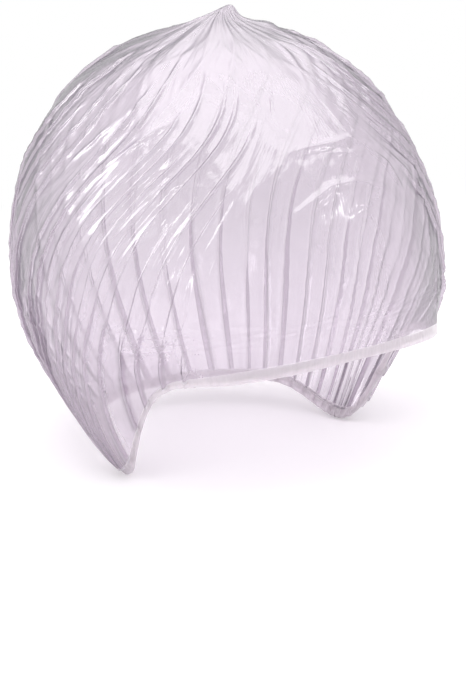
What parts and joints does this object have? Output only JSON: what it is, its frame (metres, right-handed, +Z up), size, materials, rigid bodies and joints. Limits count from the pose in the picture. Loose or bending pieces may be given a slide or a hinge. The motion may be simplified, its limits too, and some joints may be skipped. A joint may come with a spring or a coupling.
{
  "type": "disposable hair cap",
  "caption": "Clear thin-film hair cap in its worn shape, smooth over the brow and pleated at the sides and back, gathered by an elastic in a turned, welded hem.",
  "frame": {"origin": "middle of the head opening, level with the brow hem", "axes": "+Z up as worn, -Y towards the brow, +Y towards the nape, +X towards the wearer's left; X = 0 is the middle plane"},
  "size_m": [0.163, 0.2044, 0.1868],
  "materials": {
    "clear_film": "glossy clear polyethylene film",
    "doubled_film": "glossy clear film, two layers",
    "welded_film": "milky heat seal",
    "white_elastic": "matt white elastic"
  },
  "bodies": {
    "root": {"cap_film": "clear_film", "hem_casing": "doubled_film", "hem_weld": "welded_film", "elastic_band": "white_elastic"}
  },
  "joints": []
}
